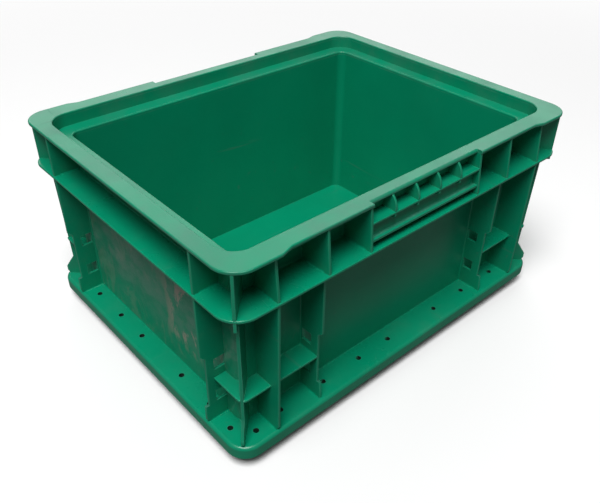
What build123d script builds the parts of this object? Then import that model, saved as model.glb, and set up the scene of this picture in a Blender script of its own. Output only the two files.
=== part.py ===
"""Stacking plastic crate: one injection moulding, divided into its named regions.

Millimetres, +Z up, origin on the ground under the middle of the floor. The long walls face -Y
(front) and +Y (back), the short walls face -X (left) and +X (right).
"""
from build123d import *
import os

os.makedirs("parts", exist_ok=True)

# overall
length = 380.0
width = 300.0
height = 190.0

# walls and floor
wall = 3.0
end_wall_inset = 24.0        # rim edge to the outer face of a short wall
side_wall_inset = 30.0       # rim edge to the outer face of a long wall
wall_corner_radius = 11.0
column_thickening = 2.4      # the wall is this much thicker in each corner column
column_radius = 8.0
floor_rise = 3.5
floor_thickness = 3.0

# rim, and the step inside it that takes the foot of the crate above
rim_thickness = 2.6
rim_corner_radius = 20.0
end_rim_width = 13.7
side_rim_width = 18.7
opening_radius = 18.0
ledge_depth = 12.0
ledge_thickness = 3.0
step_wall = 3.0
waist = 3.2                  # the long rims draw in by this much between the corners
waist_from_end = 42.0
waist_run = 10.0

# hand grip in the middle of each long rim
grip_spacing = 126.7         # between the two ribs that end it
grip_inset = 7.6             # rim edge drawn in over the fingers
grip_cells = 5
finger_rib = 2.0
finger_rib_reach = 26.8      # all reaches are from the outer face of the wall
finger_bend = 0.6            # the curved edge of a finger rib passes this far in,
finger_bend_drop = 6.6       # and this far below the rim's underside
finger_tab = 5.0
grip_floor_drop = 15.7
grip_floor_thickness = 2.0
grip_floor_reach = 27.0
label_panel = 2.0
label_panel_reach = 22.0
label_rail_reach = 27.4
label_rail_thickness = 1.8
label_slot = 6.8

# shelf round the upper band
shelf_drop = 39.3
shelf_thickness = 2.3

# ribs
rib = 2.4
end_bay = 39.1               # rim end to the first rib on a long wall
second_bay = 46.0
side_bay = 45.9              # rim side to the rib on a short wall
shelf_margin = 1.0           # upper ribs stop this far inside the shelf edge
rib_waist_height = 88.0      # below this the middle ribs are shallower
rib_waist_ramp = 4.0
long_rib_reach = 24.0
long_rib_waist = 4.6
short_rib_reach = 22.8
short_rib_waist = 4.0
heel_height = 40.0           # below this they stand out again
heel_step = 3.2
slot_width = 10.0
slot_height = 11.0
slot_from_wall = 2.0
slot_levels = (46.5, 79.0)    # middles of the two slots

# corner columns, sizes along each side from the rim's corner
fin_inset = 6.0
fin_lower_inset = 12.0
fin_lean = 1.6
fin_lug_drop = 8.0
fin_heel_inset = 7.5
fin_heel_height = 8.0
gusset_height = 66.5
gusset_thickness = 2.0
gusset_end_inset = 11.0
gusset_side_inset = 10.5
gusset_radius = 6.0

# base flange and foot
foot_depth = 11.5
flange_height = 11.7
flange_inset = 1.7
flange_plate = 3.0
flange_skirt = 3.0
flange_corner_radius = 18.0
flange_edge_radius = 3.0
foot_clearance = 3.0         # foot to the opening of the crate below
foot_wall = 3.0
drain = 4.8
drain_from_rib = 13.3
end_drain_inset = 14.2
side_drain_inset = 17.7
end_corner_drain = (11.9, 16.9)    # in from the rim's end, past the short wall's rib
side_corner_drain = (14.1, 13.8)   # in from the rim's side, past the long wall's end rib

# rounded edges
rim_edge = 1.0
grip_edge = 2.0
ledge_edge = 1.4
shelf_edge = 0.8
rib_edge = 0.6
waist_bend = 8.0
near = 0.1                   # how close an edge lies to the line it is picked by

half_x = length / 2
half_y = width / 2
wall_x = half_x - end_wall_inset
wall_y = half_y - side_wall_inset
open_x = half_x - end_rim_width
open_y = half_y - side_rim_width
inner_radius = wall_corner_radius - wall
rim_under = height - rim_thickness
ledge_top = height - ledge_depth
ledge_under = ledge_top - ledge_thickness
shelf_top = height - shelf_drop
shelf_under = shelf_top - shelf_thickness
flange_top = foot_depth + flange_height
flange_x = half_x - flange_inset
flange_y = half_y - flange_inset
foot_x = open_x - foot_clearance
foot_y = open_y - foot_clearance
foot_radius = opening_radius - foot_clearance
foot_top = flange_top - flange_plate
rib_a = half_x - end_bay
rib_b = rib_a - second_bay
rib_c = grip_spacing / 2
rib_n = half_y - side_bay
waist_y = half_y - waist
slot_reach = slot_from_wall + slot_width / 2
grip_y = half_y - grip_inset
grip_floor_top = height - grip_floor_drop
rail_under = shelf_top + label_slot
cell = grip_spacing / grip_cells


def save(piece, name):
    piece.part.label = name
    export_step(piece.part, f"parts/{name}.step")


def save_runs(ring, name):
    """Keep a frame as its four straight sides and a set of four corners, parted at the end ribs."""
    for side, x, y, span_x, span_y in (
        ("front", 0, -half_y, 2 * rib_a, width),
        ("back", 0, half_y, 2 * rib_a, width),
        ("left", -half_x, 0, length, 2 * rib_n),
        ("right", half_x, 0, length, 2 * rib_n),
    ):
        with BuildPart() as run:
            add(ring.part)
            with Locations((x, y, 0)):
                Box(span_x, span_y, 3 * height, mode=Mode.INTERSECT)
        save(run, f"{name}_{side}")
    with BuildPart() as corners:
        add(ring.part)
        Box(2 * rib_a, 3 * width, 3 * height, mode=Mode.SUBTRACT)
        Box(3 * length, 2 * rib_n, 3 * height, mode=Mode.SUBTRACT)
    save(corners, f"{name}_corners")


def wall_outline():
    """The outside of the walls in plan: thicker in the corner columns, past the end ribs."""
    with BuildSketch() as outline:
        RectangleRounded(2 * (wall_x + column_thickening), 2 * (wall_y + column_thickening), column_radius)
        Rectangle(2 * rib_a + rib, width, mode=Mode.SUBTRACT)
        Rectangle(length, 2 * rib_n + rib, mode=Mode.SUBTRACT)
        RectangleRounded(2 * wall_x, 2 * wall_y, wall_corner_radius)
    return outline.sketch


# Foot: an upright frame that drops inside the rim of the crate below.
with BuildPart() as foot:
    with BuildSketch():
        RectangleRounded(2 * foot_x, 2 * foot_y, foot_radius)
        offset(amount=-foot_wall, mode=Mode.SUBTRACT)
    extrude(amount=foot_top)
save_runs(foot, "foot")

# Base flange: a plate round the foot of the walls, its edge turned down, with drain holes.
with BuildPart() as flange:
    with BuildSketch(Plane.XY.offset(foot_depth)):
        RectangleRounded(2 * flange_x, 2 * flange_y, flange_corner_radius)
    extrude(amount=flange_height)
    fillet(flange.edges().group_by(Axis.Z)[-1], flange_edge_radius)
    with BuildSketch(Plane.XY.offset(foot_depth)):
        RectangleRounded(2 * (flange_x - flange_skirt), 2 * (flange_y - flange_skirt),
                         flange_corner_radius - flange_skirt)
    extrude(amount=flange_height - flange_plate, mode=Mode.SUBTRACT)
    with BuildSketch(Plane.XY.offset(foot_depth)):
        RectangleRounded(2 * wall_x, 2 * wall_y, wall_corner_radius)
    extrude(amount=flange_height, mode=Mode.SUBTRACT)
    for turn, edge, ribs in (
        (0, half_y - side_drain_inset, (rib_a, rib_b, rib_c)),
        (90, half_x - end_drain_inset, (rib_n, rib_c)),
        (180, half_y - side_drain_inset, (rib_a, rib_b, rib_c)),
        (270, half_x - end_drain_inset, (rib_n, rib_c)),
    ):
        with BuildSketch(Plane.XY.offset(foot_depth).rotated((0, 0, turn))):
            with Locations(*[(side * (r - drain_from_rib), -edge) for r in ribs for side in (-1, 1)],
                           (-drain_from_rib, -edge)):
                Circle(drain / 2)
        extrude(amount=flange_height, mode=Mode.SUBTRACT)
    with BuildSketch(Plane.XY.offset(foot_depth)):
        with GridLocations(2 * (half_x - end_corner_drain[0]), 2 * (rib_n + end_corner_drain[1]), 2, 2):
            Circle(drain / 2)
        with GridLocations(2 * (rib_a + side_corner_drain[1]), 2 * (half_y - side_corner_drain[0]), 2, 2):
            Circle(drain / 2)
    extrude(amount=flange_height, mode=Mode.SUBTRACT)
save_runs(flange, "flange")

# Body walls up to the stacking ledge, and the floor between them.
with BuildPart() as body:
    with BuildSketch(Plane.XY.offset(floor_rise)):
        RectangleRounded(2 * wall_x, 2 * wall_y, wall_corner_radius)
    extrude(amount=ledge_under - floor_rise)
    with BuildSketch(Plane.XY.offset(flange_top)):
        add(wall_outline())
    extrude(amount=ledge_under - flange_top)
    with BuildSketch(Plane.XY.offset(floor_rise)):
        RectangleRounded(2 * (wall_x - wall), 2 * (wall_y - wall), inner_radius)
    extrude(amount=height, mode=Mode.SUBTRACT)
save_runs(body, "wall")

with BuildPart() as floor_panel:
    with BuildSketch(Plane.XY.offset(floor_rise)):
        RectangleRounded(2 * (wall_x - wall), 2 * (wall_y - wall), inner_radius)
    extrude(amount=floor_thickness)
save(floor_panel, "floor_panel")

# Stacking ledge: the flat step that the foot of the crate above rests on.
with BuildPart() as ledge:
    with BuildSketch(Plane.XY.offset(ledge_under)):
        RectangleRounded(2 * open_x, 2 * open_y, opening_radius)
        RectangleRounded(2 * (wall_x - wall), 2 * (wall_y - wall), inner_radius, mode=Mode.SUBTRACT)
    extrude(amount=ledge_thickness)
    fillet(ledge.faces().filter_by(Axis.Z).sort_by(Axis.Z)[-1].inner_wires()[0].edges(), ledge_edge)
save_runs(ledge, "ledge")

# Step wall: upright round the ledge, from its underside to the rim.
with BuildPart() as step:
    with BuildSketch(Plane.XY.offset(ledge_under)):
        RectangleRounded(2 * (open_x + step_wall), 2 * (open_y + step_wall), opening_radius + step_wall)
        RectangleRounded(2 * open_x, 2 * open_y, opening_radius, mode=Mode.SUBTRACT)
    extrude(amount=rim_under - ledge_under)
save_runs(step, "step_wall")

# Rim: the flat top frame. The long sides draw in past each corner, and again over the grip.
with BuildPart() as rim:
    with BuildSketch(Plane.XY.offset(rim_under)):
        RectangleRounded(length, width, rim_corner_radius)
        waist_end = half_x - waist_from_end
        with BuildSketch(mode=Mode.PRIVATE) as bite:
            with BuildLine():
                Polyline((-waist_end, -half_y), (-waist_end + waist_run, -waist_y),
                         (waist_end - waist_run, -waist_y), (waist_end, -half_y), close=True)
            make_face()
            with Locations((0, -(waist_y + grip_y) / 2)):
                Rectangle(grip_spacing - rib, waist_y - grip_y)
        add(bite.sketch, mode=Mode.SUBTRACT)
        add(bite.sketch, rotation=180, mode=Mode.SUBTRACT)
        RectangleRounded(2 * open_x, 2 * open_y, opening_radius, mode=Mode.SUBTRACT)
    extrude(amount=rim_thickness)
    bends = rim.edges().filter_by(Axis.Z).filter_by_position(Axis.X, -waist_end, waist_end)
    fillet(bends.filter_by(lambda e: abs(e.center().Y) > waist_y - near and abs(e.center().X) > rib_b),
           waist_bend)
    top = rim.faces().filter_by(Axis.Z).sort_by(Axis.Z)[-1]
    over_grip = top.outer_wire().edges().filter_by(lambda e: abs(abs(e.center().Y) - grip_y) < near)
    fillet(over_grip, grip_edge)
    top = rim.faces().filter_by(Axis.Z).sort_by(Axis.Z)[-1]
    fillet(top.outer_wire().edges().filter_by(
        lambda e: abs(e.center().Y) > waist_y - near or abs(e.center().X) > waist_end), rim_edge)
    top = rim.faces().filter_by(Axis.Z).sort_by(Axis.Z)[-1]
    fillet(top.inner_wires()[0].edges(), rim_edge)
save_runs(rim, "rim")

# Shelf: a flange round the crate that closes the bottom of the upper band.
with BuildPart() as shelf:
    with BuildSketch(Plane.XY.offset(shelf_under)):
        RectangleRounded(length, width, rim_corner_radius)
        add(wall_outline(), mode=Mode.SUBTRACT)
    extrude(amount=shelf_thickness)
    fillet(shelf.faces().filter_by(Axis.Z).sort_by(Axis.Z)[-1].outer_wire().edges(), shelf_edge)
save_runs(shelf, "shelf")

# Upper ribs, between the shelf and the rim, notched round the step in the wall.
with BuildPart() as long_upper_rib:
    with BuildSketch(Plane.YZ):
        with BuildLine():
            Polyline((-wall_y, shelf_top), (-(half_y - shelf_margin), shelf_top),
                     (-(waist_y - shelf_margin), rim_under), (-(open_y + step_wall), rim_under),
                     (-(open_y + step_wall), ledge_under), (-wall_y, ledge_under), close=True)
        make_face()
    extrude(amount=rib / 2, both=True)
    fillet(long_upper_rib.faces().sort_by(Axis.Y)[0].edges().filter_by(Axis.X, reverse=True), rib_edge)

with BuildPart() as short_upper_rib:
    with BuildSketch(Plane.XZ):
        with BuildLine():
            Polyline((-wall_x, shelf_top), (-(half_x - shelf_margin), shelf_top),
                     (-(half_x - shelf_margin), rim_under), (-(open_x + step_wall), rim_under),
                     (-(open_x + step_wall), ledge_under), (-wall_x, ledge_under), close=True)
        make_face()
    extrude(amount=rib / 2, both=True)
    fillet(short_upper_rib.faces().sort_by(Axis.X)[0].edges().filter_by(Axis.Y, reverse=True), rib_edge)

# Lower ribs, between the base flange and the shelf. The middle ones have a waist, a heel and
# two slots; those beside the corner columns run straight down.
with BuildPart() as long_lower_rib:
    waist_reach = wall_y + long_rib_reach - long_rib_waist
    with BuildSketch(Plane.YZ):
        with BuildLine():
            Polyline((-wall_y, flange_top), (-(wall_y + long_rib_reach), flange_top),
                     (-(waist_reach + heel_step), heel_height), (-waist_reach, heel_height),
                     (-waist_reach, rib_waist_height),
                     (-(wall_y + long_rib_reach), rib_waist_height + rib_waist_ramp),
                     (-(wall_y + long_rib_reach), shelf_under), (-wall_y, shelf_under), close=True)
        make_face()
        with Locations(*[(-(wall_y + slot_reach), z) for z in slot_levels]):
            Rectangle(slot_width, slot_height, mode=Mode.SUBTRACT)
    extrude(amount=rib / 2, both=True)
    fillet(long_lower_rib.edges().filter_by(
        lambda e: abs(e.center().X) > rib / 2 - near and e.center().Y < -(waist_reach - near)
        and flange_top + near < e.center().Z < shelf_under - near), rib_edge)

with BuildPart() as long_end_rib:
    with BuildSketch(Plane.YZ):
        with BuildLine():
            Polyline((-wall_y, flange_top), (-(flange_y - flange_edge_radius), flange_top),
                     (-(flange_y - shelf_margin), flange_top + flange_edge_radius),
                     (-(half_y - shelf_margin), shelf_under), (-wall_y, shelf_under), close=True)
        make_face()
    extrude(amount=rib / 2, both=True)
    fillet(long_end_rib.edges().filter_by(
        lambda e: abs(e.center().X) > rib / 2 - near and e.center().Y < -(flange_y - flange_edge_radius)
        and flange_top + near < e.center().Z < shelf_under - near), rib_edge)

with BuildPart() as short_lower_rib:
    waist_reach = wall_x + short_rib_reach - short_rib_waist
    with BuildSketch(Plane.XZ):
        with BuildLine():
            Polyline((-wall_x, flange_top), (-(flange_x - flange_edge_radius), flange_top),
                     (-(waist_reach + heel_step), flange_top + flange_edge_radius),
                     (-(waist_reach + heel_step), heel_height), (-waist_reach, heel_height),
                     (-waist_reach, rib_waist_height),
                     (-(wall_x + short_rib_reach), rib_waist_height + rib_waist_ramp),
                     (-(wall_x + short_rib_reach), shelf_under), (-wall_x, shelf_under), close=True)
        make_face()
        with Locations(*[(-(wall_x + slot_reach), z) for z in slot_levels]):
            Rectangle(slot_width, slot_height, mode=Mode.SUBTRACT)
    extrude(amount=rib / 2, both=True)
    fillet(short_lower_rib.edges().filter_by(
        lambda e: abs(e.center().Y) > rib / 2 - near and e.center().X < -(waist_reach - near)
        and flange_top + near < e.center().Z < shelf_under - near), rib_edge)

for side, turn in (("front", 0), ("back", 180)):
    with BuildPart() as upper_ribs:
        for x in (rib_a, rib_b, rib_c):
            with Locations((x, 0, 0), (-x, 0, 0)):
                add(long_upper_rib.part)
    with BuildPart() as turned:
        add(upper_ribs.part, rotation=(0, 0, turn))
    save(turned, f"upper_ribs_{side}")
    with BuildPart() as lower_ribs:
        with Locations((rib_a, 0, 0), (-rib_a, 0, 0)):
            add(long_end_rib.part)
        with Locations((rib_b, 0, 0), (-rib_b, 0, 0)):
            add(long_lower_rib.part)
    with BuildPart() as turned:
        add(lower_ribs.part, rotation=(0, 0, turn))
    save(turned, f"lower_ribs_{side}")

for side, turn in (("left", 0), ("right", 180)):
    with BuildPart() as upper_ribs:
        with Locations((0, rib_n, 0), (0, -rib_n, 0)):
            add(short_upper_rib.part)
    with BuildPart() as turned:
        add(upper_ribs.part, rotation=(0, 0, turn))
    save(turned, f"upper_ribs_{side}")
    with BuildPart() as lower_ribs:
        with Locations((0, rib_n, 0), (0, -rib_n, 0)):
            add(short_lower_rib.part)
    with BuildPart() as turned:
        add(lower_ribs.part, rotation=(0, 0, turn))
    save(turned, f"lower_ribs_{side}")

# Corner fins: a web on the diagonal of each corner column, above and below the shelf.
diagonal = Plane(origin=(half_x, half_y, 0), x_dir=(-1, -1, 0), z_dir=(-1, 1, 0))
fin_root = 2 ** 0.5 * (side_wall_inset + wall_corner_radius)
fin_toe = 2 ** 0.5 * (flange_inset + flange_corner_radius * (1 - 0.5 ** 0.5)) + flange_edge_radius

with BuildPart() as corner_fins_upper:
    with BuildSketch(diagonal):
        with BuildLine():
            Polyline((2 ** 0.5 * fin_inset, shelf_top), (2 ** 0.5 * fin_inset, rim_under),
                     (fin_root, rim_under), (fin_root, shelf_top), close=True)
        make_face()
    extrude(amount=rib / 2, both=True)
    mirror(about=Plane.YZ)
    mirror(about=Plane.XZ)
    with BuildSketch():
        add(wall_outline())
    extrude(amount=height, mode=Mode.SUBTRACT)
    with BuildSketch(Plane.XY.offset(ledge_under)):
        RectangleRounded(2 * (open_x + step_wall), 2 * (open_y + step_wall), opening_radius + step_wall)
    extrude(amount=height, mode=Mode.SUBTRACT)
save(corner_fins_upper, "corner_fins_upper")

with BuildPart() as corner_fins_lower:
    with BuildSketch(diagonal):
        with BuildLine():
            Polyline((fin_toe, flange_top),
                     (2 ** 0.5 * fin_heel_inset, flange_top + flange_edge_radius),
                     (2 ** 0.5 * fin_heel_inset, flange_top + fin_heel_height),
                     (2 ** 0.5 * (fin_lower_inset + fin_lean), heel_height + rib_waist_ramp),
                     (2 ** 0.5 * fin_lower_inset, shelf_under - fin_lug_drop),
                     (2 ** 0.5 * fin_inset, shelf_under - fin_lug_drop),
                     (2 ** 0.5 * fin_inset, shelf_under), (fin_root, shelf_under),
                     (fin_root, flange_top), close=True)
        make_face()
    extrude(amount=rib / 2, both=True)
    mirror(about=Plane.YZ)
    mirror(about=Plane.XZ)
    with BuildSketch():
        add(wall_outline())
    extrude(amount=height, mode=Mode.SUBTRACT)
save(corner_fins_lower, "corner_fins_lower")

# Gussets: small level webs a third of the way up, either side of each end rib.
gusset_x = half_x - gusset_end_inset
gusset_y = half_y - gusset_side_inset
with BuildPart() as corner_gussets:
    with BuildSketch(Plane.XY.offset(gusset_height - gusset_thickness)):
        RectangleRounded(2 * gusset_x, 2 * gusset_y, gusset_radius)
        add(wall_outline(), mode=Mode.SUBTRACT)
        Rectangle(2 * rib_a + rib, width, mode=Mode.SUBTRACT)
        Rectangle(length, 2 * rib_n + rib, mode=Mode.SUBTRACT)
        for x, y in ((1, 1), (1, -1), (-1, 1), (-1, -1)):
            with Locations((x * half_x, y * half_y)):
                Rectangle(width, rib, rotation=45 * x * y, mode=Mode.SUBTRACT)
    extrude(amount=gusset_thickness)
save(corner_gussets, "corner_gussets")

with BuildPart() as side_gussets:
    with BuildSketch(Plane.XY.offset(gusset_height - gusset_thickness)):
        with GridLocations(rib_a + rib_b, wall_y + gusset_y, 2, 2):
            Rectangle(second_bay - rib, gusset_y - wall_y)
    extrude(amount=gusset_thickness)
save(side_gussets, "side_gussets")

# Hand grips: a floor under the fingers, ribs between the fingers, and a label holder below.
grip_span = grip_spacing - rib
finger_y = wall_y + finger_rib_reach
panel_y = wall_y + label_panel_reach
for side, turn in (("front", 0), ("back", 180)):
    with BuildPart() as grip_floor:
        with BuildSketch(Plane.YZ.offset(-grip_span / 2)):
            with BuildLine():
                Polyline((-wall_y, grip_floor_top - grip_floor_thickness),
                         (-(wall_y + grip_floor_reach), grip_floor_top - grip_floor_thickness),
                         (-(wall_y + grip_floor_reach), grip_floor_top), (-wall_y, grip_floor_top),
                         close=True)
            make_face()
        extrude(amount=grip_span)
        fillet(grip_floor.faces().sort_by(Axis.Y)[0].edges().filter_by(Axis.X), rib_edge)
    with BuildPart() as turned:
        add(grip_floor.part, rotation=(0, 0, turn))
    save(turned, f"grip_floor_{side}")

    with BuildPart() as finger_ribs:
        with BuildSketch(Plane.YZ):
            with BuildLine():
                tip = (-(grip_y - grip_edge / 2), rim_under)
                Polyline(tip, (-(open_y + step_wall), rim_under), (-(open_y + step_wall), ledge_under),
                         (-wall_y, ledge_under), (-wall_y, grip_floor_top), (-finger_y, grip_floor_top))
                ThreePointArc((-finger_y, grip_floor_top),
                              (finger_bend - finger_y, rim_under - finger_bend_drop), tip)
            make_face()
        with BuildSketch(Plane.YZ):
            with BuildLine():
                under = grip_floor_top - grip_floor_thickness
                Polyline((-panel_y, under), (-finger_y, under), (-finger_y, under - finger_tab / 2),
                         (-panel_y, under - finger_tab), close=True)
            make_face()
        extrude(amount=finger_rib / 2, both=True)
    with BuildPart() as turned:
        for i in range(1, grip_cells):
            with Locations(Rotation(0, 0, turn) * Pos(i * cell - grip_spacing / 2, 0, 0)):
                add(finger_ribs.part)
    save(turned, f"finger_ribs_{side}")

    with BuildPart() as label_holder:
        with BuildSketch(Plane.YZ.offset(-grip_span / 2)):
            with BuildLine():
                rail_y = wall_y + label_rail_reach
                Polyline((-(panel_y - label_panel), rail_under), (-rail_y, rail_under),
                         (-rail_y, rail_under + label_rail_thickness),
                         (-panel_y, rail_under + label_rail_thickness),
                         (-panel_y, grip_floor_top - grip_floor_thickness),
                         (-(panel_y - label_panel), grip_floor_top - grip_floor_thickness), close=True)
            make_face()
        extrude(amount=grip_span)
    with BuildPart() as turned:
        add(label_holder.part, rotation=(0, 0, turn))
    save(turned, f"label_holder_{side}")
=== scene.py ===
"""A stacking crate moulded in green polypropylene, built up from the foot to the rim."""

import math

import bmesh
import bpy
from mathutils import Matrix, Vector


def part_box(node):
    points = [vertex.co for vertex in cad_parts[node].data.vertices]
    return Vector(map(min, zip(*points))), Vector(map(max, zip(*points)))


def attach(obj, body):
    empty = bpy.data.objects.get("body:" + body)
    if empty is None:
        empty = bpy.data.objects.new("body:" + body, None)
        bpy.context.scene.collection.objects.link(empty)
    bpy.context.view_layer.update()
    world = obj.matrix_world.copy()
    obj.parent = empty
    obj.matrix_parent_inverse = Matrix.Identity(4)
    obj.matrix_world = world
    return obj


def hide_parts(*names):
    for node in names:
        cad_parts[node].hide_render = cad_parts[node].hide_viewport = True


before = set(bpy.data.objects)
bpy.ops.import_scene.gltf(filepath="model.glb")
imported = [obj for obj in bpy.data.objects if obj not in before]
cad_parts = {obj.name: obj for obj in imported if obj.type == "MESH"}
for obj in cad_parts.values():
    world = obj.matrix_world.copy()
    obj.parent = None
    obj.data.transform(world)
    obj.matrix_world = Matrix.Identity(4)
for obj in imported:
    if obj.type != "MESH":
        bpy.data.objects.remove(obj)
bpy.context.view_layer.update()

# Foot: an upright frame, 3 mm thick, that drops inside the rim of the crate below. It is moulded in
# one with the floor, out of green polypropylene. It is what slides on shelves and conveyors, so it
# is scraped pale.
foot_rounding = 0.0006                  # of its lower edges
straights = ("front", "back", "left", "right")
seam_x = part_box("rim_front")[1].x       # the frames round the crate are parted at these two planes
seam_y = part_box("rim_left")[1].y
on_plane = 1e-5                         # how near to a plane counts as on it
touching = 2e-6                         # corners of neighbouring nodes that are one point
across_seam = 2e-5                      # the same, where a curved corner meets a straight run
crate_green = (0.0, 0.276, 0.143, 1.0)
deep_green = (0.0, 0.250, 0.129, 1.0)
chalky_green = (0.095, 0.190, 0.155, 1.0)
rubbed_and_highlight_green = (0.11, 0.40, 0.28, 1.0)
dust_grey = (0.19, 0.21, 0.17, 1.0)
edge_wear_and_highlight_width = 0.0009                   # how far in from an edge the plastic is rubbed and painted lighter as a highlight


def around(part):
    """The CAD nodes of a frame that goes round the crate: four straight runs and its corners."""
    return [f"{part}_{side}" for side in (*straights, "corners")]


def on_seam(face):
    centre = face.calc_center_median()
    across_x = abs(face.normal.x) > 0.999 and abs(abs(centre.x) - seam_x) < on_plane
    across_y = abs(face.normal.y) > 0.999 and abs(abs(centre.y) - seam_y) < on_plane
    return across_x or across_y


def merged(nodes, ring=False):
    """The CAD nodes as one closed mesh, with flat faces joined and the seams of a ring taken out."""
    mesh = bmesh.new()
    for node in nodes:
        mesh.from_mesh(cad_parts[node].data)
    bmesh.ops.remove_doubles(mesh, verts=mesh.verts, dist=touching)
    if ring:
        bmesh.ops.delete(mesh, geom=[f for f in mesh.faces if on_seam(f)], context="FACES")
        bmesh.ops.remove_doubles(mesh, verts=mesh.verts, dist=across_seam)
    bmesh.ops.dissolve_limit(mesh, angle_limit=math.radians(0.2), verts=mesh.verts, edges=mesh.edges)
    return mesh


def soften(mesh, width, picked):
    """Rounds the sharp edges that picked(middle, edge) chooses, as the mould's own edges are."""
    sharp = [e for e in mesh.edges
             if len(e.link_faces) == 2 and e.calc_face_angle(0) > math.radians(40)
             and picked((e.verts[0].co + e.verts[1].co) / 2, e)]
    bmesh.ops.bevel(mesh, geom=sharp, offset=width, offset_type="OFFSET", segments=2, profile=0.5,
                    affect="EDGES", clamp_overlap=True, material=-1)


def piece(name, mesh, material, replaced=()):
    """The finished piece: smooth but for its sharp edges, riding on the crate for its CAD nodes."""
    data = bpy.data.meshes.new(name)
    mesh.to_mesh(data)
    mesh.free()
    data.shade_smooth()
    data.set_sharp_from_angle(angle=math.radians(35))
    data.materials.append(material)
    made = bpy.data.objects.new(name, data)
    bpy.context.scene.collection.objects.link(made)
    weighted = made.modifiers.new("weighted_normals", "WEIGHTED_NORMAL")
    weighted.keep_sharp = True
    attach(made, "root")
    if replaced:
        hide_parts(*replaced)
    return made


class Finish:
    """A material in the making, with a short call for each kind of node that it is made of."""

    def __init__(self, name):
        self.material = bpy.data.materials.new(name)
        self.material.use_nodes = True
        self.tree = self.material.node_tree
        self.surface = self.tree.nodes["Principled BSDF"]
        self.place = self.add("TexCoord").outputs["Object"]

    def add(self, kind):
        return self.tree.nodes.new("ShaderNode" + kind)

    def link(self, source, target):
        self.tree.links.new(source, target)

    def noise(self, scale, detail=3.0, rough=0.5, stretch=None, turn=(0, 0, 0), distort=0.0):
        """Noise of so many grains a metre, drawn out along each axis whose stretch is under 1."""
        place = self.place
        if stretch:
            mapping = self.add("Mapping")
            mapping.inputs["Scale"].default_value = stretch
            mapping.inputs["Rotation"].default_value = turn
            self.link(place, mapping.inputs["Vector"])
            place = mapping.outputs["Vector"]
        made = self.add("TexNoise")
        made.inputs["Scale"].default_value = scale
        made.inputs["Detail"].default_value = detail
        made.inputs["Roughness"].default_value = rough
        made.inputs["Distortion"].default_value = distort
        self.link(place, made.inputs["Vector"])
        return made.outputs["Fac"]

    def span(self, value, low, high, out_low=0.0, out_high=1.0):
        """Eases from out_low to out_high as the value goes from low to high."""
        made = self.add("MapRange")
        made.interpolation_type = "SMOOTHSTEP"
        made.inputs["From Min"].default_value = low
        made.inputs["From Max"].default_value = high
        made.inputs["To Min"].default_value = out_low
        made.inputs["To Max"].default_value = out_high
        self.link(value, made.inputs["Value"])
        return made.outputs["Result"]

    def maths(self, operation, first, second):
        made = self.add("Math")
        made.operation = operation
        for socket, value in zip(made.inputs, (first, second)):
            if isinstance(value, (int, float)):
                socket.default_value = value
            else:
                self.link(value, socket)
        return made.outputs[0]

    def times(self, first, second):
        return self.maths("MULTIPLY", first, second)

    def larger(self, first, second):
        return self.maths("MAXIMUM", first, second)

    def mix(self, share, first, second):
        made = self.add("Mix")
        made.data_type = "RGBA"
        self.link(share, made.inputs["Factor"])
        for socket, value in ((made.inputs[6], first), (made.inputs[7], second)):
            if isinstance(value, tuple):
                socket.default_value = value
            else:
                self.link(value, socket)
        return made.outputs[2]

    def axis(self, letter):
        made = self.add("SeparateXYZ")
        self.link(self.place, made.inputs[0])
        return made.outputs[letter]

    def bump(self, height, strength, distance, under=None):
        made = self.add("Bump")
        made.inputs["Strength"].default_value = strength
        made.inputs["Distance"].default_value = distance
        self.link(height, made.inputs["Height"])
        if under:
            self.link(under, made.inputs["Normal"])
        return made.outputs["Normal"]


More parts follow.
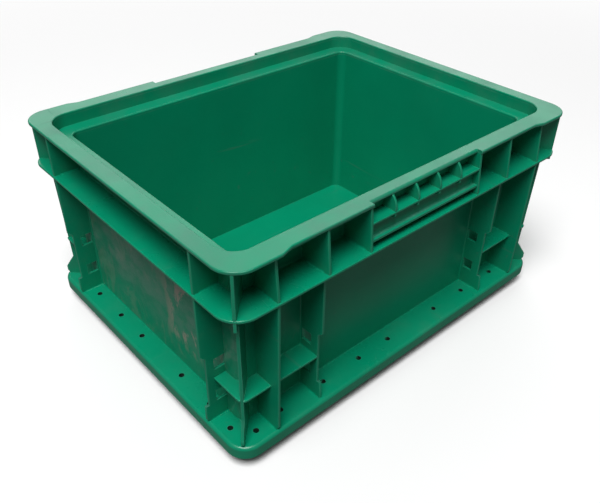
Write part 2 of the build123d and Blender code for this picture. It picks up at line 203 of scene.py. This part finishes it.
def plastic(name, roughness=0.36, scratches=0.5, haze=0.0, dust=0.0, edge_wear_and_highlight=0.6, warp=0.12):
    """Self-coloured polypropylene with a satin mould grain, more or less used."""
    finish = Finish(name)
    cloud = finish.span(finish.noise(11, detail=4, rough=0.55), 0.3, 0.7)
    tint = finish.mix(cloud, deep_green, crate_green)

    # Edges are rubbed in patches, and painted lighter there as a painted highlight. An edge is where a
    # rounded normal leaves the face's true one.
    rounded = finish.add("Bevel")
    rounded.samples = 6
    rounded.inputs["Radius"].default_value = edge_wear_and_highlight_width
    facing = finish.add("VectorMath")
    facing.operation = "DOT_PRODUCT"
    finish.link(rounded.outputs[0], facing.inputs[0])
    finish.link(finish.add("NewGeometry").outputs["True Normal"], facing.inputs[1])
    patches = finish.span(finish.noise(48, detail=5, rough=0.7), 0.38, 0.66, 0.25 * edge_wear_and_highlight, edge_wear_and_highlight)
    edge = finish.times(finish.span(facing.outputs["Value"], 0.99, 0.80), patches)

    # Hair scratches run two ways, in patches, under a chalky haze.
    one_way = finish.noise(150, rough=0.6, stretch=(1.0, 0.05, 1.0), turn=(0.2, 0.1, 0.5), distort=0.6)
    other_way = finish.noise(170, rough=0.6, stretch=(0.05, 1.0, 0.8), turn=(0.5, 0.3, -0.4), distort=0.5)
    hairs = finish.larger(finish.span(one_way, 0.655, 0.70), finish.span(other_way, 0.66, 0.71))
    scratched = finish.span(finish.noise(7, rough=0.6), 0.40, 0.62)
    marks = finish.times(finish.times(hairs, scratched), scratches)
    film = finish.times(finish.span(finish.noise(26, detail=8, rough=0.68), 0.38, 0.72), haze)
    tint = finish.mix(finish.larger(finish.times(marks, 0.5), film), tint, chalky_green)
    # The lighter edge green is partly rubbed plastic and partly a painted highlight along the edges.
    tint = finish.mix(edge, tint, rubbed_and_highlight_green)

    # Dust settles as fine specks and in soft drifts.
    specks = finish.times(finish.span(finish.noise(420, detail=2), 0.66, 0.74), 0.6)
    drifts = finish.span(finish.noise(38, detail=6, rough=0.7), 0.5, 0.8)
    settled = finish.times(finish.larger(specks, drifts), dust)
    tint = finish.mix(settled, tint, dust_grey)
    finish.link(tint, finish.surface.inputs["Base Color"])
    finish.tint = tint                  # for a piece that lays marks of its own over it

    # Haze and dust dull the plastic, and rubbing polishes it.
    uneven = finish.noise(17, detail=4, rough=0.6)
    dull = finish.span(uneven, 0.25, 0.75, roughness - 0.05, roughness + 0.07)
    dull = finish.maths("ADD", dull, finish.times(finish.larger(marks, film), 0.22))
    dull = finish.maths("ADD", dull, finish.times(settled, 0.3))
    dull = finish.maths("SUBTRACT", dull, finish.times(edge, 0.1))
    finish.link(dull, finish.surface.inputs["Roughness"])

    # The surface sank a little as it cooled, and carries the mould's grain and the scratches.
    sunk = finish.bump(finish.noise(9, detail=2, rough=0.4), warp, 0.004)
    grain = finish.bump(finish.noise(1500, detail=2), 0.05, 0.0002, sunk)
    finish.link(finish.bump(marks, 0.25, 0.0001, grain), finish.surface.inputs["Normal"])
    return finish


foot_plastic = plastic("scraped_plastic", roughness=0.42, scratches=1.0, haze=0.25, dust=0.3)
foot = merged(around("foot"), ring=True)
soften(foot, foot_rounding, lambda middle, edge: middle.z < 0.001)
piece("foot", foot, foot_plastic.material, around("foot"))

# Floor: a flat panel, 3 mm thick, that closes the crate between its walls and is moulded with them.
# What is carried keeps it clean and glossy.
floor_plastic = plastic("inside_plastic", roughness=0.33, scratches=0.35, warp=0.10)
piece("floor", merged(["floor_panel"]), floor_plastic.material, ["floor_panel"])

# Base flange: a ledge round the foot of the walls, moulded with them, its edge rounded over and
# turned down. Pins in the mould leave its drain holes, whose walls near the top are painted near
# black as painted shade inside the holes. It takes the knocks, so its edge is rubbed.
free_edge_rounding = 0.0005             # of this and of every other free edge above the foot
drain_nearest = 0.008                   # the drain holes lie between these distances from the edge
drain_furthest = 0.018
drain_shade_depth = 0.003                     # how far down from the flange's top a hole's wall is painted as shade
drain_shade_dark = (0.002, 0.010, 0.006, 1.0)
drain_shade_light = (0.006, 0.026, 0.016, 1.0)
flange_low, flange_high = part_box("flange_front")
half_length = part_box("flange_right")[1].x
half_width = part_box("flange_back")[1].y


def outer_edges(height):
    """Picks the edges at one height that bound a face looking away from the crate."""
    return lambda middle, edge: abs(middle.z - height) < across_seam and any(
        abs(face.normal.z) < 0.5 and face.normal.xy.dot(middle.xy) > 0 for face in edge.link_faces)


def in_drain(face):
    centre = face.calc_center_median()
    from_edge = min(half_length - abs(centre.x), half_width - abs(centre.y))
    upright_near_top = abs(face.normal.z) < 0.1 and centre.z > flange_high.z - drain_shade_depth
    return upright_near_top and drain_nearest < from_edge < drain_furthest


flange_plastic = plastic("flange_plastic", roughness=0.30, scratches=0.45, haze=0.05, dust=0.08)
# The drain holes' walls are painted near black: painted shade inside the holes.
drain_shade_finish = plastic("drain_painted_shade", roughness=0.7, scratches=0.0)
drain_shade_finish.link(drain_shade_finish.mix(drain_shade_finish.noise(300), drain_shade_dark, drain_shade_light), drain_shade_finish.surface.inputs["Base Color"])
flange = merged(around("flange"), ring=True)
soften(flange, free_edge_rounding, outer_edges(flange_low.z))
for face in flange.faces:
    if in_drain(face):
        face.material_index = 1
base_flange = piece("base_flange", flange, flange_plastic.material, around("flange"))
base_flange.data.materials.append(drain_shade_finish.material)

# Walls: four flat panels, 3 mm thick, and a thicker column at each corner that carries the stack.
# They are moulded with the floor. The outside of the left wall has a dusty film, thickest half-way
# up, and pale scuffs towards its front end.
film_grey = (0.150, 0.290, 0.230, 1.0)
film_foot = (0.035, 0.085)              # from where each starts to show to where it is full
film_top = (0.146, 0.115)
scuff_pink = (0.380, 0.320, 0.265, 1.0)
scuffs_front = (-0.102, -0.088)
scuffs_rear = (-0.004, -0.05)
scuffs_foot = (0.035, 0.06)
scuffs_top = (0.128, 0.10)
left_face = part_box("wall_left")[0].x
wall_plastic = plastic("wall_plastic")
along_wall = wall_plastic.axis("Y")
up_wall = wall_plastic.axis("Z")
outside_left = wall_plastic.span(wall_plastic.axis("X"), left_face + 0.0012, left_face + 0.0006)
film = wall_plastic.noise(46, detail=10, rough=0.80, stretch=(1, 0.7, 1), turn=(0.5, 0, 0))
film = wall_plastic.span(film, 0.42, 0.60, 0.05, 0.60)
film_up = wall_plastic.times(wall_plastic.span(up_wall, *film_top),
                             wall_plastic.span(up_wall, *film_foot, 0.25, 1.0))
film = wall_plastic.times(wall_plastic.times(film, film_up), outside_left)
filmed = wall_plastic.mix(film, wall_plastic.tint, film_grey)
scuffs_along = wall_plastic.times(wall_plastic.span(along_wall, *scuffs_front),
                                  wall_plastic.span(along_wall, *scuffs_rear))
scuffs_up = wall_plastic.times(wall_plastic.span(up_wall, *scuffs_foot),
                               wall_plastic.span(up_wall, *scuffs_top))
scuffed = wall_plastic.larger(wall_plastic.times(scuffs_along, scuffs_up), 0.16)
streaks = wall_plastic.noise(36, detail=9, rough=0.72, stretch=(1, 1, 0.5), turn=(-0.45, 0, 0), distort=0.8)
scuffs = wall_plastic.times(wall_plastic.span(streaks, 0.52, 0.57),
                            wall_plastic.times(scuffed, outside_left))
wall_plastic.link(wall_plastic.mix(scuffs, filmed, scuff_pink), wall_plastic.surface.inputs["Base Color"])
piece("walls", merged(around("wall"), ring=True), wall_plastic.material, around("wall"))

# Stacking ledge: the step inside the rim, and the upright wall round it, that hold the foot of the
# crate above. Both are moulded with the walls, and the crates set down there scratch and haze them.
ledge_plastic = plastic("ledge_plastic", roughness=0.34, scratches=0.7, haze=0.22)
for part in ("ledge", "step_wall"):
    piece(part, merged(around(part), ring=True), ledge_plastic.material, around(part))

# Shelf: a level flange, as wide as the rim, that closes the pockets of the upper band from below.
# It is moulded with the walls, and its lower edge is eased.
shelf_plastic = plastic("shelf_plastic", roughness=0.28, scratches=0.4, haze=0.03, dust=0.05)
shelf = merged(around("shelf"), ring=True)
soften(shelf, free_edge_rounding, outer_edges(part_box("shelf_front")[0].z))
piece("shelf", shelf, shelf_plastic.material, around("shelf"))

# Rim: the flat top frame, with rounded edges, drawn in past each corner and over each grip. It is
# moulded on top of the step wall, and hands and stacked crates haze it.
rim_plastic = plastic("rim_plastic", roughness=0.30, scratches=0.8, haze=0.40, edge_wear_and_highlight=0.9)
rim = merged(around("rim"), ring=True)
soften(rim, free_edge_rounding, outer_edges(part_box("rim_front")[0].z))
piece("rim", rim, rim_plastic.material, around("rim"))

# Ribs: upright webs, 2.4 mm thick, that stiffen the walls above and below the shelf. They are one
# moulding with the walls, the shelf and the flange, so nothing fixes them.
rib_plastic = plastic("rib_plastic", haze=0.08, dust=0.10, edge_wear_and_highlight=0.8)
for band in ("upper", "lower"):
    for side in straights:
        node = f"{band}_ribs_{side}"
        piece(f"{node}_moulded", merged([node]), rib_plastic.material, [node])

# Corner fins: a web on the diagonal of each corner column, above and below the shelf. They are one
# moulding with the columns, and their outer edges are eased.
fin_reach = 0.318                       # only at a fin's outer edges do x and y add up to more
fin_end_margin = 0.0005
for node in ("corner_fins_upper", "corner_fins_lower"):
    low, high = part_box(node)
    fins = merged([node])
    soften(fins, free_edge_rounding, lambda middle, edge: (
        low.z + fin_end_margin < middle.z < high.z - fin_end_margin
        and abs(middle.x) + abs(middle.y) > fin_reach))
    piece(f"{node}_moulded", fins, rib_plastic.material, [node])

# Gussets: level webs, 2 mm thick, a third of the way up the lower band, that tie the corner columns
# and the outer bays together. They are moulded with the ribs that they join.
corner_gusset_margin = 0.0065           # level edges this near the outside are free ones
side_gusset_margin = 0.0001


def is_level(edge):
    return abs(edge.verts[0].co.z - edge.verts[1].co.z) < 1e-6


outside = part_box("corner_gussets")[1]
corner_gussets = merged(["corner_gussets"])
soften(corner_gussets, free_edge_rounding, lambda middle, edge: is_level(edge) and (
    abs(middle.x) > outside.x - corner_gusset_margin or abs(middle.y) > outside.y - corner_gusset_margin))
piece("corner_gussets_moulded", corner_gussets, shelf_plastic.material, ["corner_gussets"])
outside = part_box("side_gussets")[1]
side_gussets = merged(["side_gussets"])
soften(side_gussets, free_edge_rounding, lambda middle, edge: (
    is_level(edge) and abs(middle.y) > outside.y - side_gusset_margin))
piece("side_gussets_moulded", side_gussets, shelf_plastic.material, ["side_gussets"])

# Hand grips: in the middle of each long side, a floor under the fingers, and four curved ribs that
# divide it, with a small tab under each. Below the floor hangs a holder for a label card. All of it
# is moulded with the rim and the wall.
finger_edge_depth = 0.012               # edges this near the outside of a grip are eased
for side in ("front", "back"):
    grip = f"grip_floor_{side}"
    fingers = f"finger_ribs_{side}"
    label = f"label_holder_{side}"
    grip_reach = max(abs(corner.y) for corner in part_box(grip))
    piece(f"{grip}_moulded", merged([grip]), shelf_plastic.material, [grip])
    finger_ribs = merged([fingers])
    soften(finger_ribs, free_edge_rounding,
           lambda middle, edge: abs(middle.y) > grip_reach - finger_edge_depth)
    piece(f"{fingers}_moulded", finger_ribs, rib_plastic.material, [fingers])
    piece(f"{label}_moulded", merged([label]), wall_plastic.material, [label])

# Root fillets: the mould's corners are eased where a rib stands on the flange, the shelf or a wall,
# and where a side gusset meets the wall and its ribs. Each root carries a small hollow strip of the
# same plastic that catches the light.
root = 0.0012                           # radius of the hollow
arc_steps = 4
rib_tip_margin = 0.005                  # the strips end this far short of a rib's outer edge
gusset_tip_margin = 0.002
wall_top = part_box("wall_front")[1].z
up = Vector((0, 0, 1))
outward = {"front": Vector((0, -1, 0)), "back": Vector((0, 1, 0)),
           "left": Vector((-1, 0, 0)), "right": Vector((1, 0, 0))}
roots = bmesh.new()


def root_strip(start, end, along_one_face, along_other_face):
    """A hollow-faced strip down an inside corner, drawn out from its section at the start."""
    centre = start + (along_one_face + along_other_face) * root
    turns = [step * math.pi / 2 / arc_steps for step in range(arc_steps + 1)]
    hollow = [centre - (along_one_face * math.cos(turn) + along_other_face * math.sin(turn)) * root
              for turn in turns]
    section = roots.faces.new([roots.verts.new(point) for point in [start] + hollow])
    drawn = bmesh.ops.extrude_face_region(roots, geom=[section])["geom"]
    bmesh.ops.translate(roots, vec=end - start,
                        verts=[v for v in drawn if isinstance(v, bmesh.types.BMVert)])


def webs(node):
    """The low and high corners of each separate web in a CAD node."""
    mesh = merged([node])
    left_over = set(mesh.verts)
    while left_over:
        web, border = set(), [left_over.pop()]
        while border:
            vertex = border.pop()
            web.add(vertex)
            fresh = [e.other_vert(vertex) for e in vertex.link_edges if e.other_vert(vertex) in left_over]
            left_over.difference_update(fresh)
            border.extend(fresh)
        low, high = [[pick(v.co[axis] for v in web) for axis in range(3)] for pick in (min, max)]
        yield Vector(low), Vector(high)
    mesh.free()


for band in ("upper", "lower"):
    for side in straights:
        out = outward[side]
        across = Vector((abs(out.y), abs(out.x), 0))        # along the wall
        ribs = sorted(webs(f"{band}_ribs_{side}"), key=lambda box: box[0].dot(across))
        wall_face = min(abs(corner.dot(out)) for box in ribs for corner in box)
        for low, high in ribs:
            tip = max(abs(low.dot(out)), abs(high.dot(out))) - rib_tip_margin
            rise = min(high.z, wall_top) - low.z
            for flank, away in ((low.dot(across), -across), (high.dot(across), across)):
                corner = across * flank + out * wall_face + up * low.z
                root_strip(corner, corner + out * (tip - wall_face), away, up)
                root_strip(corner, corner + up * rise, away, out)
        for (low, high), (next_low, next_high) in zip(ribs, ribs[1:]):
            corner = across * high.dot(across) + out * wall_face + up * low.z
            root_strip(corner, corner + across * (next_low.dot(across) - high.dot(across)), out, up)
for low, high in webs("side_gussets"):
    out = Vector((0, math.copysign(1, low.y), 0))
    wall_face = min(abs(low.y), abs(high.y))
    gusset_reach = abs(high.y - low.y) - gusset_tip_margin
    left_corner = Vector((low.x, 0, high.z)) + out * wall_face
    right_corner = Vector((high.x, 0, high.z)) + out * wall_face
    root_strip(left_corner, right_corner, out, up)
    root_strip(left_corner, left_corner + out * gusset_reach, Vector((1, 0, 0)), up)
    root_strip(right_corner, right_corner + out * gusset_reach, Vector((-1, 0, 0)), up)
bmesh.ops.recalc_face_normals(roots, faces=roots.faces)
root_plastic = plastic("root_plastic", roughness=0.30, scratches=0.2, edge_wear_and_highlight=0.0)
piece("root_fillets", roots, root_plastic.material)

# Studio: a wide sheet of paper under the crate, in a dim room. To the camera the paper is pale and
# fades to pure white further out, as the room is. To all other light it is dark, so that little
# comes up from under the crate.
paper_radius = 6.0
paper_pale = (0.95, 0.95, 0.95, 1.0)    # to the camera
paper_dark = (0.15, 0.15, 0.15, 1.0)    # to the crate
fade_start = 0.35                       # distances from the middle of the crate
fade_end = 1.6
white = (1.0, 1.0, 1.0, 1.0)
room_strength = 0.10

paper = Finish("studio_floor")
paper_seen = paper.add("LightPath").outputs["Is Camera Ray"]
paper.link(paper.mix(paper_seen, paper_dark, paper_pale), paper.surface.inputs["Base Color"])
paper.surface.inputs["Roughness"].default_value = 0.9
paper.surface.inputs["Specular IOR Level"].default_value = 0.1
distance_out = paper.add("VectorMath")
distance_out.operation = "LENGTH"
paper.link(paper.place, distance_out.inputs[0])
faded = paper.times(paper_seen, paper.span(distance_out.outputs["Value"], fade_start, fade_end))
glow = paper.add("Emission")
glow.inputs["Color"].default_value = white
fade = paper.add("MixShader")
paper.link(faded, fade.inputs[0])
paper.link(paper.surface.outputs[0], fade.inputs[1])
paper.link(glow.outputs[0], fade.inputs[2])
paper.link(fade.outputs[0], paper.tree.nodes["Material Output"].inputs["Surface"])
sheet = bmesh.new()
bmesh.ops.create_circle(sheet, cap_ends=True, segments=96, radius=paper_radius)
sheet_mesh = bpy.data.meshes.new("studio_floor")
sheet.to_mesh(sheet_mesh)
sheet.free()
sheet_mesh.materials.append(paper.material)
studio_floor = bpy.data.objects.new("studio_floor", sheet_mesh)
bpy.context.scene.collection.objects.link(studio_floor)

room = bpy.data.worlds.new("room")
bpy.context.scene.world = room
room.use_nodes = True
room_tree = room.node_tree
room_light = room_tree.nodes["Background"]
room_light.inputs["Color"].default_value = white
room_light.inputs["Strength"].default_value = room_strength
room_view = room_tree.nodes.new("ShaderNodeBackground")
room_view.inputs["Color"].default_value = white
room_seen = room_tree.nodes.new("ShaderNodeLightPath").outputs["Is Camera Ray"]
room_choice = room_tree.nodes.new("ShaderNodeMixShader")
room_tree.links.new(room_seen, room_choice.inputs[0])
room_tree.links.new(room_light.outputs[0], room_choice.inputs[1])
room_tree.links.new(room_view.outputs[0], room_choice.inputs[2])
room_tree.links.new(room_choice.outputs[0], room_tree.nodes["World Output"].inputs["Surface"])

# Softboxes: a square one overhead, tilted to the camera's side, lights the crate. A long one hangs
# behind it, and the flat rim catches its sheen.
lamp_aim = Vector((0, 0, 0.1))          # the middle of the crate
lamp_distance = 3.2


def softbox(name, direction, width, height, watts):
    lamp = bpy.data.lights.new(name, "AREA")
    lamp.shape = "RECTANGLE"
    lamp.size = width
    lamp.size_y = height
    lamp.energy = watts
    made = bpy.data.objects.new(name, lamp)
    away = Vector(direction).normalized()
    made.matrix_world = (Matrix.Translation(lamp_aim + away * lamp_distance)
                         @ away.to_track_quat("Z", "Y").to_matrix().to_4x4())
    bpy.context.scene.collection.objects.link(made)


softbox("overhead_softbox", (-0.38, -0.27, 1.0), 1.6, 1.6, 114)
softbox("back_softbox", (0.62, 0.72, 0.50), 4.0, 1.9, 38)

# Camera: off the near left corner and 0.44 m above the ground, looking down along the diagonal. A
# small roll and shift frame the crate.
eye = Vector((-0.365884, -0.409849, 0.436182))
aim = Vector((0.037356, 0.031553, 0.0115))
roll = 0.0188
camera = bpy.data.objects.new("camera", bpy.data.cameras.new("camera"))
bpy.context.scene.collection.objects.link(camera)
look = (aim - eye).to_track_quat("-Z", "Y").to_matrix().to_4x4()
camera.matrix_world = Matrix.Translation(eye) @ look @ Matrix.Rotation(roll, 4, "Z")
camera.data.lens = 40.41
camera.data.sensor_width = 36
camera.data.shift_x = -0.01164
camera.data.shift_y = -0.00755
bpy.context.scene.camera = camera
bpy.context.scene.view_settings.view_transform = "Standard"
